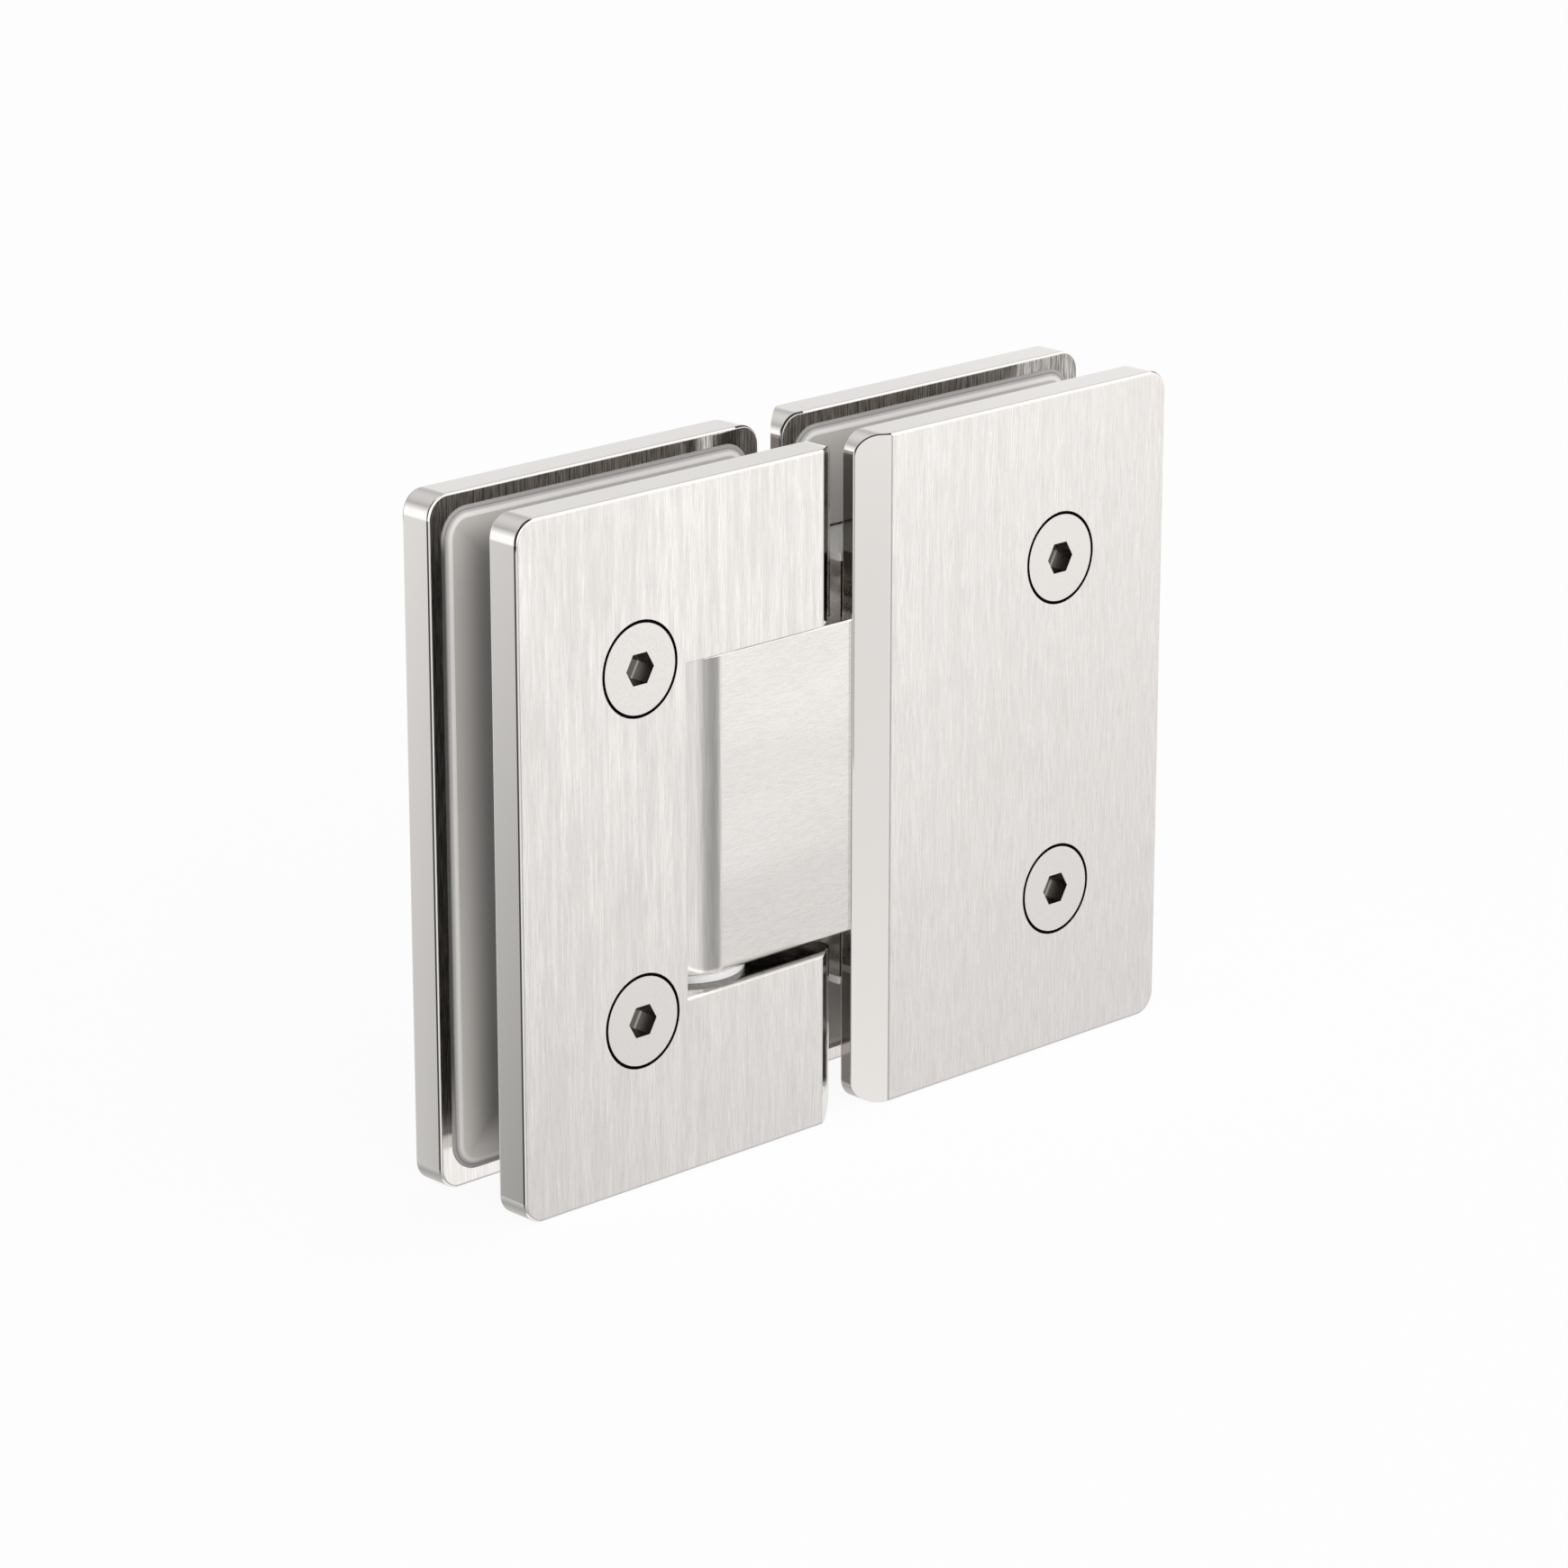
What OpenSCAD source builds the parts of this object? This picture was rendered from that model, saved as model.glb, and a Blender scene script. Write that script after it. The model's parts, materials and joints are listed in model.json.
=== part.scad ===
// Double-action glass door hinge: two pairs of clamp plates joined at a vertical pivot.
// The left pair holds the fixed pane and the pin, the right pair holds the door.
// Millimetres, +Z up, front faces towards -Y, standing on the plates' lower edges.

/* [Clamp plates] */
// Height of each plate
plate_h = 90; // [84:1:110]
// Width of each plate
plate_w = 55; // [52:1:65]
// Thickness of each plate
plate_t = 5; // [4.6:0.1:7]
// Gap between the fixed pair and the door pair
plate_gap = 4; // [2:0.5:8]
// Corner radius of the plates
corner_r = 3; // [2:0.5:6]
// Rounding of the plates' long edges
edge_r = 0.4; // [0.2:0.1:0.6]
// Rounding of the edges round the notch
notch_edge_r = 0.1; // [0.1:0.1:0.4]
// Width of the bevel on each hinge-side edge, across the front
bevel_w = 4; // [2:0.5:6]
// Depth of that bevel into the plate's thickness
bevel_d = 2.95; // [2:0.05:3.6]
// Rounding where the bevel meets the front
bevel_front_r = 0.7; // [0.3:0.1:1.5]
// Rounding where the bevel meets the side
bevel_side_r = 0.2; // [0.1:0.1:0.8]

/* [Glass seat] */
// Thickness of the glass that the clamps hold
glass_t = 10; // [9:0.5:12]
// Thickness of each gasket
gasket_t = 0.5; // [0.4:0.1:1]
// Distance from the plate's edge to the gasket's lip
gasket_inset = 1.95; // [1.5:0.05:4]
// Corner radius of the lip
gasket_corner_r = 3.9; // [3:0.1:6]
// Width of the thin lip round each gasket
gasket_lip_w = 0.4; // [0.2:0.1:0.8]
// Thickness of that lip
gasket_lip_t = 0.1; // [0.05:0.05:0.3]
// Width over which the gasket rises from its lip to the glass side
gasket_round_w = 1.1; // [0.4:0.1:1.4]
// Wall of the plastic liner between the glass cut-out and the core
liner_t = 1; // [0.8:0.1:1.5]
// Clearance between the liner and the opening in the gaskets
liner_gap = 0.4; // [0.3:0.1:1]
// How far each side of the liner stays back from the core's
liner_step = 0.1; // [0.05:0.05:0.4]
// How much thinner the cores are than the closed clamp, so that the screws grip the glass
clamp_play = 0.1; // [0.1:0.1:0.6]

/* [Cores] */
// Height of the notch in the fixed side that the knuckle turns in
notch_h = 44; // [40:1:50]
// Height of each ear above and below the notch
ear_h = 6; // [5.5:0.5:8]
// Length of each core, from the hinge-side edge into the clamp
core_len = 42; // [40:1:44]
// Corner radius at the far end of the cores
core_corner_r = 4; // [2:0.5:6]
// From the clamp screws' axes to the core's top and bottom
screw_edge_z = 5.15; // [4.5:0.05:6]
// From the clamp screws' axes to the core's far end
screw_edge_x = 6.8; // [5:0.1:8]

/* [Knuckle] */
// Thickness of the knuckle, front to back
knuckle_t = 14.5; // [12:0.5:16]
// From the fixed side's hinge-side edge to the pivot axis
pivot_inset = 18.5; // [16:0.5:20]
// Room between the round end of the knuckle and the notch
swing_gap = 1.75; // [1:0.25:2.5]
// Vertical play of the knuckle in the notch
end_play = 0.4; // [0.2:0.1:0.8]
// Rounding of the knuckle's upper and lower edges
knuckle_edge_r = 0.3; // [0.1:0.1:0.6]

/* [Pin and bushes] */
// Diameter of the pivot pin
pin_d = 8; // [6:0.5:8]
// Distance from each end of the pin to the core's top or bottom
pin_inset = 0.5; // [0.2:0.1:1.5]
// How far the flats are cut into the pin
cam_lift = 0.6; // [0.3:0.1:1]
// How far the flats run past the followers
flat_run = 0.5; // [0.2:0.1:1]
// Wall of the bushes
bush_wall = 1; // [0.8:0.1:1.2]
// Length of the bushes inside the knuckle
bush_len = 7; // [5:0.5:7]
// Diameter of the bushes' flanges
flange_d = 15.5; // [13:0.5:16]
// Thickness of the bushes' flanges
flange_t = 0.8; // [0.6:0.1:1.2]
// Radial clearance of what turns or slides
running_gap = 0.04; // [0.02:0.01:0.08]
// Clearance of what is screwed or pressed in
seat_gap = 0.02; // [0.01:0.01:0.05]

/* [Cam followers] */
// Diameter of the bores for the followers and springs
spring_bore_d = 7; // [6:0.5:7]
// Distance between the two bores
spring_pitch = 20; // [18:1:22]
// Length of each follower without its spigot
follower_len = 14; // [10:1:16]
// Diameter of the spigot that centres the spring
spigot_d = 3.6; // [2.5:0.1:3.8]
// Length of that spigot
spigot_len = 3; // [2:0.5:4]
// Length of each spring as fitted
spring_len = 20; // [15:1:22]
// Wire diameter of the springs
wire_d = 1.2; // [0.8:0.1:1.2]
// Room between the springs and their bores
coil_gap = 0.2; // [0.1:0.05:0.4]
// Turns of each spring between its closed ends
spring_turns = 6; // [4:1:8]
// Diameter of the threaded plugs behind the springs
plug_d = 8; // [7.5:0.5:8.5]
// Length of the threaded plugs
plug_len = 8; // [6:1:10]

/* [Screws] */
// Thread diameter of the clamp screws
screw_d = 6; // [5:0.5:6]
// Head diameter of the clamp screws
head_d = 11.6; // [11:0.1:12.5]
// Height of the cylindrical rim of those heads
head_rim = 1.1; // [0.5:0.1:1.3]
// Width of the dark ring around those heads
ring_gap = 0.43; // [0.2:0.01:0.6]
// Room around the clamp screws in the cores
core_hole_gap = 0.85; // [0.3:0.05:1]
// Key size of the clamp screws and the plugs
key_size = 4; // [3:0.5:4]
// Depth of their hexagon sockets
key_depth = 2.9; // [2:0.1:3.2]
// Depth that the screws reach into the back plates
thread_depth = 3.8; // [3:0.1:4.1]
// Depth of their holes beyond their tips
tip_room = 0.4; // [0.2:0.1:0.4]
// Thread diameter of the screws that hold the cores to the back plates
core_screw_d = 4; // [3:0.5:4]
// Head diameter of those screws
core_head_d = 8; // [7:0.1:8.5]
// Key size of those screws
core_key_size = 2.5; // [2:0.5:2.5]
// Depth of their hexagon sockets
core_key_depth = 1.4; // [1:0.1:1.6]
// Distance from the ear to the core screws on the fixed side, along the spine
core_screw_step = 13; // [11:1:15]
// From the hinge-side edge to the core screws on the door side
core_screw_reach = 10; // [8:1:14]
// Thread diameter of the grub screws that hold the pin
grub_d = 4; // [3:0.5:4]
// Length of those grub screws
grub_len = 14; // [8:1:14]
// Key size of the grub screws
grub_key_size = 2; // [1.5:0.5:2]

/* [Hidden] */

$fn = 64;
// Overshoot of a cut past the face it starts from
over = 1;
mid_z = plate_h / 2;
clamp_gap = glass_t + 2 * gasket_t;
core_t = clamp_gap - clamp_play;
core_h = notch_h + 2 * ear_h;
screw_pitch = core_h - 2 * screw_edge_z;
screw_reach = core_len - screw_edge_x;
notch_d = pivot_inset + knuckle_t / 2 + swing_gap;
spine_mid = (notch_d + core_len) / 2;
pivot_x = -plate_gap / 2 - pivot_inset;
bevel_run = norm([bevel_w, bevel_d]);
bevel_angle = atan2(bevel_d, bevel_w);
head_cone = (head_d - screw_d) / 2;
head_h = head_rim + head_cone;
clamp_len = plate_t + clamp_gap + thread_depth;
core_head_h = (core_head_d - core_screw_d) / 2;
blind_depth = thread_depth + tip_room;
gasket_rise = gasket_t - gasket_lip_t;
gasket_arc_r = (pow(gasket_round_w, 2) + pow(gasket_rise, 2)) / (2 * gasket_rise);
bore_d = pin_d + 2 * bush_wall;
knuckle_z = mid_z - notch_h / 2 + flange_t;
knuckle_h = notch_h - 2 * flange_t - end_play;
knuckle_mid = knuckle_z + knuckle_h / 2;
follower_tip = pivot_x + pin_d / 2 + running_gap;
follower_d = spring_bore_d - 2 * running_gap;
spring_x = follower_tip + follower_len;
plug_x = spring_x + spring_len;
coil_r = spring_bore_d / 2 - wire_d / 2 - coil_gap;
grub_x = pivot_x + pin_d / 2 + seat_gap;
flat_h = spring_pitch + spring_bore_d + 2 * flat_run;
chamfer = 0.5;
steel = [0.82, 0.81, 0.79];
core_steel = [0.62, 0.61, 0.60];
bright_steel = [0.72, 0.72, 0.73];
grey_plastic = [0.70, 0.69, 0.67];
white_nylon = [0.94, 0.94, 0.92];

// What is cut off an edge at the origin to round it: one face lies along -x with its outside
// at +y, and the other turns down from it by the angle
module edge_cut(r, turn = 90) {
    far = r + over;
    translate([-r * tan(turn / 2), -r]) difference() {
        polygon([[0, 0], [0, far], [far * tan(turn / 2), far], [far * sin(turn), far * cos(turn)]]);
        circle(r);
    }
}

// Square corner of the first quadrant outside a radius, to be cut off a plate
module corner_cut(r, height) {
    difference() {
        translate([0, 0, -over]) cube([r + over, r + over, height + 2 * over]);
        translate([0, 0, -2 * over]) cylinder(r = r, h = height + 4 * over);
    }
}

// Rounded rectangle with one corner at the origin
module rounded_slab(w, h, t, r) {
    difference() {
        cube([w, h, t]);
        at_corners(w, h, r) corner_cut(r, t);
    }
}

// Places a child at the centre of each corner's arc, its first quadrant outwards
module at_corners(w, h, r) {
    translate([w - r, h - r]) children();
    translate([w - r, r]) mirror([0, 1, 0]) children();
    translate([r, h - r]) mirror([1, 0, 0]) children();
    translate([r, r]) rotate(180) children();
}

// Runs a cut round the rim of a rounded slab's upper face, which lies at z = 0
module rim_cut(w, h, r) {
    at_corners(w, h, r) rotate_extrude(angle = 90) translate([r, 0]) children();
    translate([w, r]) rotate([90, 0, 0]) mirror([0, 0, 1]) linear_extrude(h - 2 * r) children();
    translate([0, r]) mirror([1, 0, 0]) rotate([90, 0, 0]) mirror([0, 0, 1])
        linear_extrude(h - 2 * r) children();
    translate([r, h]) rotate([90, 0, 90]) linear_extrude(w - 2 * r) children();
    translate([r, 0]) mirror([0, 1, 0]) rotate([90, 0, 90]) linear_extrude(w - 2 * r) children();
}

// Clamp plate lying flat, outer face up, hinge-side edge at x = 0
module plate_blank() {
    difference() {
        rounded_slab(plate_w, plate_h, plate_t, corner_r);
        translate([0, 0, plate_t]) rim_cut(plate_w, plate_h, corner_r) edge_cut(edge_r);
        mirror([0, 0, 1]) rim_cut(plate_w, plate_h, corner_r) edge_cut(edge_r);
        translate([0, -over, plate_t - bevel_d]) rotate([0, -bevel_angle, 0])
            translate([-over, 0, 0]) cube([bevel_run + 2 * over, plate_h + 2 * over, bevel_d + over]);
        at_bevel_edge(bevel_w, plate_t) edge_cut(bevel_front_r, bevel_angle);
        at_bevel_edge(0, plate_t - bevel_d) rotate(-bevel_angle)
            edge_cut(bevel_side_r, 90 - bevel_angle);
    }
}

// Runs a cut along one of the bevel's edges, the full height of a plate lying flat
module at_bevel_edge(x, z) {
    translate([x, -over, z]) mirror([1, 0, 0]) rotate([90, 0, 0]) mirror([0, 0, 1])
        linear_extrude(plate_h + 2 * over) children();
}

// Notch in a plate of the fixed side, with rounded edges on its outer face and along its bevel
module plate_notch() {
    side = mid_z - notch_h / 2;
    translate([-over, side, -over]) cube([notch_d + over, notch_h, plate_t + 2 * over]);
    translate([notch_d, side, plate_t]) mirror([1, 0, 0]) rotate([90, 0, 0]) mirror([0, 0, 1])
        linear_extrude(notch_h) edge_cut(notch_edge_r);
    for (flip = [0, 1]) translate([0, mid_z, 0]) mirror([0, flip, 0]) translate([0, notch_h / 2, 0]) {
        translate([bevel_w, 0, plate_t]) mirror([0, 1, 0]) rotate([90, 0, 90])
            linear_extrude(notch_d - bevel_w) edge_cut(notch_edge_r);
        translate([bevel_w, 0, plate_t]) rotate([0, -bevel_angle, 0]) translate([-bevel_run, 0, 0])
            mirror([0, 1, 0]) rotate([90, 0, 90]) linear_extrude(bevel_run) edge_cut(notch_edge_r);
    }
}

// Cuts at each clamp screw of a plate or core lying flat, hinge-side edge at x = 0
module at_clamp_screws() {
    for (side = [-1, 1]) translate([screw_reach, mid_z + side * screw_pitch / 2]) children();
}

// Countersunk hole for a clamp screw through a front plate, from its outer face at z = plate_t
module head_seat() {
    translate([0, 0, plate_t]) rotate_extrude() polygon([
        [0, over], [head_d / 2 + ring_gap, over], [head_d / 2 + ring_gap, -head_rim],
        [head_d / 2 + seat_gap, -head_rim], [screw_d / 2 + seat_gap, -head_h],
        [screw_d / 2 + seat_gap, -plate_t - over], [0, -plate_t - over]
    ]);
}

// Blind hole from a back plate's inner face at z = 0
module blind_hole(d) {
    translate([0, 0, -over]) cylinder(d = d + 2 * seat_gap, h = blind_depth + over);
}

// Places of the screws that hold each core to its back plate, in the flat layout
module at_housing_screws() {
    for (side = [-1, 1]) {
        translate([spine_mid, mid_z + side * (notch_h / 2 - core_screw_step)]) children();
    }
}
module at_block_screws() {
    for (side = [-1, 1]) translate([core_screw_reach, mid_z + side * screw_pitch / 2]) children();
}

// Takes a plate or gasket from the flat layout to the front right, the other three places mirror it
module front_right() {
    translate([plate_gap / 2, -clamp_gap / 2, 0]) rotate([90, 0, 0]) children();
}
module front_left() { mirror([1, 0, 0]) front_right() children(); }
module back_right() { mirror([0, 1, 0]) front_right() children(); }
module back_left() { mirror([0, 1, 0]) front_left() children(); }

module left_front_plate() {
    color(steel) front_left() difference() {
        plate_blank();
        plate_notch();
        at_clamp_screws() head_seat();
    }
}

module left_back_plate() {
    color(steel) back_left() difference() {
        plate_blank();
        plate_notch();
        at_clamp_screws() blind_hole(screw_d);
        at_housing_screws() blind_hole(core_screw_d);
    }
}

module right_front_plate() {
    color(steel) front_right() difference() {
        plate_blank();
        at_clamp_screws() head_seat();
    }
}

module right_back_plate() {
    color(steel) back_right() difference() {
        plate_blank();
        at_clamp_screws() blind_hole(screw_d);
        at_block_screws() blind_hole(core_screw_d);
    }
}

// What is cut off a gasket's rim, its glass side along -x: it leaves the lip and an arc above it
module gasket_rim() {
    w = gasket_lip_w + gasket_round_w;
    translate([-w, 0]) difference() {
        translate([0, -gasket_rise]) square([w + over, gasket_rise + over]);
        translate([0, -gasket_arc_r]) circle(gasket_arc_r);
    }
}

// Gasket lying on a plate's inner face, its glass side at z = -gasket_t, open around the core
module gasket() {
    w = plate_w - 2 * gasket_inset;
    h = plate_h - 2 * gasket_inset;
    opening_h = core_h + 2 * (liner_t + liner_gap);
    difference() {
        translate([gasket_inset, gasket_inset, -gasket_t]) difference() {
            rounded_slab(w, h, gasket_t, gasket_corner_r);
            mirror([0, 0, 1]) rim_cut(w, h, gasket_corner_r) gasket_rim();
        }
        translate([-over, mid_z - opening_h / 2, -gasket_t - over])
            cube([over + core_len + liner_t + liner_gap, opening_h, gasket_t + 2 * over]);
    }
}

module left_front_gasket() { color(grey_plastic) front_left() gasket(); }
module left_back_gasket() { color(grey_plastic) back_left() gasket(); }
module right_front_gasket() { color(grey_plastic) front_right() gasket(); }
module right_back_gasket() { color(grey_plastic) back_right() gasket(); }

// Outline of a core seen from the front, square at the hinge side and round at the far end
module core_slab(grow, t) {
    h = core_h + 2 * grow;
    r = core_corner_r + grow;
    difference() {
        translate([0, mid_z - h / 2, 0]) cube([core_len + grow, h, t]);
        for (flip = [0, 1]) translate([core_len + grow - r, mid_z, 0]) mirror([0, flip, 0])
            translate([0, h / 2 - r, 0]) corner_cut(r, t);
    }
}

// Core against the back plate's inner face, which lies at z = 0 with the front towards +z
module core_blank() { core_slab(0, core_t); }

module core_liner() {
    w = core_t - 2 * liner_step;
    translate([0, 0, liner_step]) difference() {
        core_slab(liner_t, w);
        translate([-over, 0, -over]) core_slab(seat_gap, w + 2 * over);
        translate([0, 0, -over]) core_slab(seat_gap, w + 2 * over);
    }
}

// Takes a core from the flat layout, z = 0 on the back plate, to the right side or the left side
module right_core() {
    translate([plate_gap / 2, clamp_gap / 2, 0]) rotate([90, 0, 0]) children();
}
module left_core() { mirror([1, 0, 0]) right_core() children(); }

module housing_liner() { color(white_nylon) left_core() core_liner(); }
module block_liner() { color(white_nylon) right_core() core_liner(); }

// Countersunk hole through a core, head towards +z
module core_screw_hole() {
    translate([0, 0, core_t]) rotate_extrude() polygon([
        [0, over], [core_head_d / 2 + seat_gap, over], [core_head_d / 2 + seat_gap, 0],
        [core_screw_d / 2 + seat_gap, -core_head_h],
        [core_screw_d / 2 + seat_gap, -core_t - over], [0, -core_t - over]
    ]);
}

// Clearance hole for a clamp screw through a core
module clamp_hole() {
    translate([0, 0, -over]) cylinder(d = screw_d + 2 * core_hole_gap, h = core_t + 2 * over);
}

module pivot_housing() {
    color(core_steel) difference() {
        left_core() difference() {
            core_blank();
            translate([-over, mid_z - notch_h / 2, -over])
                cube([notch_d + over, notch_h, core_t + 2 * over]);
            at_clamp_screws() clamp_hole();
            at_housing_screws() core_screw_hole();
        }
        translate([pivot_x, 0, mid_z - core_h / 2 - over])
            cylinder(d = pin_d + 2 * seat_gap, h = core_h + 2 * over);
        at_pin_screws() translate([0, 0, -over])
            cylinder(d = grub_d + 2 * seat_gap, h = pivot_inset + plate_gap + 2 * over);
    }
}

// Stadium outline of the knuckle, from the pivot axis to the door plates' edge
module knuckle() {
    reach = pivot_inset + plate_gap;
    r = knuckle_t / 2;
    difference() {
        union() {
            cylinder(r = r, h = knuckle_h);
            translate([0, -r, 0]) cube([reach, knuckle_t, knuckle_h]);
        }
        for (end = [0, 1]) translate([0, 0, end * knuckle_h]) mirror([0, 0, 1 - end]) {
            rotate(90) rotate_extrude(angle = 180) translate([r, 0]) edge_cut(knuckle_edge_r);
            for (side = [0, 1]) mirror([0, side, 0]) translate([0, r, 0])
                rotate([90, 0, 90]) linear_extrude(reach) edge_cut(knuckle_edge_r);
        }
    }
}

// Places a child at each spring bore's axis on the pivot axis, pointing along +x
module at_springs() {
    for (side = [-1, 1]) spring_line(side) children();
}
module spring_line(side) {
    translate([0, 0, knuckle_mid + side * spring_pitch / 2]) rotate([0, 90, 0]) children();
}

module pivot_block() {
    color(steel) difference() {
        union() {
            translate([pivot_x, 0, knuckle_z]) knuckle();
            right_core() core_blank();
        }
        translate([pivot_x, 0, knuckle_z - over]) cylinder(d = bore_d, h = knuckle_h + 2 * over);
        at_springs() translate([0, 0, pivot_x]) cylinder(d = spring_bore_d, h = plug_x - pivot_x + over);
        at_springs() translate([0, 0, plug_x]) cylinder(d = plug_d, h = core_len + plate_gap);
        right_core() at_clamp_screws() clamp_hole();
        right_core() at_block_screws() core_screw_hole();
    }
}

module pivot_pin() {
    z0 = mid_z - core_h / 2 + pin_inset;
    h = core_h - 2 * pin_inset;
    r = pin_d / 2;
    color(bright_steel) difference() {
        translate([pivot_x, 0, z0]) rotate_extrude() polygon([
            [0, 0], [r - chamfer, 0], [r, chamfer], [r, h - chamfer], [r - chamfer, h], [0, h]
        ]);
        for (turn = [0:90:270]) translate([pivot_x, 0, knuckle_mid]) rotate(turn)
            translate([r - cam_lift, -r - over, -flat_h / 2]) cube([r, pin_d + 2 * over, flat_h]);
    }
}

// Nylon bush with its flange at z = 0 to flange_t and its sleeve above
module bush() {
    difference() {
        union() {
            cylinder(d = flange_d, h = flange_t);
            cylinder(d = bore_d - 2 * seat_gap, h = flange_t + bush_len);
        }
        translate([0, 0, -over])
            cylinder(d = pin_d + 2 * running_gap, h = flange_t + bush_len + 2 * over);
    }
}

module lower_bush() {
    color(white_nylon) translate([pivot_x, 0, knuckle_z - flange_t]) bush();
}

module upper_bush() {
    color(white_nylon) translate([pivot_x, 0, knuckle_z + knuckle_h + flange_t])
        mirror([0, 0, 1]) bush();
}

// Places a child at each grub screw's hole, on the pin's surface and pointing along +x
module at_pin_screws() {
    for (side = [-1, 1]) pin_screw_line(side) children();
}
module pin_screw_line(side) {
    translate([grub_x, 0, mid_z + side * (notch_h + ear_h) / 2]) rotate([0, 90, 0]) children();
}

// Hexagon socket cut down from z = 0
module socket(size, depth) {
    translate([0, 0, -depth]) cylinder(r = size / 2 / cos(30), h = depth + over, $fn = 6);
}

module grub_screw() {
    difference() {
        cylinder(d = grub_d, h = grub_len);
        translate([0, 0, grub_len]) socket(grub_key_size, grub_d / 2);
    }
}

module upper_pin_screw() { color(bright_steel) pin_screw_line(1) grub_screw(); }
module lower_pin_screw() { color(bright_steel) pin_screw_line(-1) grub_screw(); }

// Countersunk screw with its head's face at z = 0 and its shank below
module countersunk_screw(d, head, rim, length, key, depth) {
    difference() {
        rotate_extrude() polygon([
            [0, 0], [head / 2, 0], [head / 2, -rim], [d / 2, -rim - (head - d) / 2],
            [d / 2, -length + chamfer], [d / 2 - chamfer, -length], [0, -length]
        ]);
        socket(key, depth);
    }
}

// Clamp screw in the flat layout of a front plate, on one side of mid-height
module clamp_screw(side) {
    translate([screw_reach, mid_z + side * screw_pitch / 2, plate_t])
        countersunk_screw(screw_d, head_d, head_rim, clamp_len, key_size, key_depth);
}

module upper_left_clamp_screw() { color(steel) front_left() clamp_screw(1); }
module lower_left_clamp_screw() { color(steel) front_left() clamp_screw(-1); }
module upper_right_clamp_screw() { color(steel) front_right() clamp_screw(1); }
module lower_right_clamp_screw() { color(steel) front_right() clamp_screw(-1); }

// Screw that holds a core to its back plate, in the flat layout of a core
module core_screw() {
    length = core_t + thread_depth;
    translate([0, 0, core_t])
        countersunk_screw(core_screw_d, core_head_d, 0, length, core_key_size, core_key_depth);
}

module housing_screws() { color(bright_steel) left_core() at_housing_screws() core_screw(); }
module block_screws() { color(bright_steel) right_core() at_block_screws() core_screw(); }

// Cam follower from its tip at z = 0 to its spigot
module cam_follower() {
    r = follower_d / 2;
    rotate_extrude() polygon([
        [0, 0], [r - chamfer, 0], [r, chamfer], [r, follower_len],
        [spigot_d / 2, follower_len], [spigot_d / 2, follower_len + spigot_len],
        [0, follower_len + spigot_len]
    ]);
}

module upper_cam_follower() {
    color(bright_steel) spring_line(1) translate([0, 0, follower_tip]) cam_follower();
}

module lower_cam_follower() {
    color(bright_steel) spring_line(-1) translate([0, 0, follower_tip]) cam_follower();
}

// Height of the coil's centre line after a turn count, with one closed turn at each end
function coil_z(t) =
    let (pitch = (spring_len - 3 * wire_d) / spring_turns)
    wire_d / 2 + wire_d * min(t, 1) + pitch * max(0, min(t - 1, spring_turns))
        + wire_d * max(0, t - 1 - spring_turns);

// Compression spring from z = 0 to spring_len, swept as rings of points along the coil
module spring() {
    sides = 6;
    steps = 12;
    turns = spring_turns + 2;
    rings = turns * steps;
    wire_r = wire_d / 2 - seat_gap;
    points = [
        for (i = [0:rings]) for (k = [0:sides - 1])
            let (a = 360 * i / steps, b = 360 * k / sides, out = coil_r + wire_r * cos(b))
            [out * cos(a), out * sin(a), coil_z(i / steps) + wire_r * sin(b)]
    ];
    walls = [
        for (i = [0:rings - 1]) for (k = [0:sides - 1])
            let (n = (k + 1) % sides, a = i * sides, b = (i + 1) * sides)
            each [[a + k, a + n, b + n], [a + k, b + n, b + k]]
    ];
    caps = [
        for (k = [1:sides - 2]) each [
            [0, k + 1, k],
            [rings * sides, rings * sides + k, rings * sides + k + 1]
        ]
    ];
    polyhedron(points, concat(walls, caps));
}

module upper_spring() { color(bright_steel) spring_line(1) translate([0, 0, spring_x]) spring(); }
module lower_spring() { color(bright_steel) spring_line(-1) translate([0, 0, spring_x]) spring(); }

// Threaded plug behind a spring, its socket towards the far end of the bore
module spring_plug() {
    difference() {
        cylinder(d = plug_d - 2 * seat_gap, h = plug_len);
        translate([0, 0, plug_len]) socket(key_size, key_depth);
    }
}

module upper_spring_plug() { color(bright_steel) spring_line(1) translate([0, 0, plug_x]) spring_plug(); }
module lower_spring_plug() { color(bright_steel) spring_line(-1) translate([0, 0, plug_x]) spring_plug(); }

left_front_plate();
left_back_plate();
left_front_gasket();
left_back_gasket();
pivot_housing();
housing_liner();
pivot_pin();
upper_pin_screw();
lower_pin_screw();
upper_left_clamp_screw();
lower_left_clamp_screw();
housing_screws();
right_front_plate();
right_back_plate();
right_front_gasket();
right_back_gasket();
pivot_block();
block_liner();
upper_bush();
lower_bush();
upper_cam_follower();
lower_cam_follower();
upper_spring();
lower_spring();
upper_spring_plug();
lower_spring_plug();
upper_right_clamp_screw();
lower_right_clamp_screw();
block_screws();
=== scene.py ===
import json
import math

import bpy
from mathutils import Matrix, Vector

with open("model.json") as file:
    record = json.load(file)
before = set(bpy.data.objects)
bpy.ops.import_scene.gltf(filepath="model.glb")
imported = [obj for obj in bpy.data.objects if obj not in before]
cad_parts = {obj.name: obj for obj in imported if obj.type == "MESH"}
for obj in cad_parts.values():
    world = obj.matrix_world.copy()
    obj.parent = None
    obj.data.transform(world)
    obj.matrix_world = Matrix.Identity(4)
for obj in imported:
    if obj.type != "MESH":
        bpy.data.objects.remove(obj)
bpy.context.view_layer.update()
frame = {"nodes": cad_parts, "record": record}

scene = bpy.context.scene
MM = 0.001


# --- node helpers -------------------------------------------------------------------------------

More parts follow.
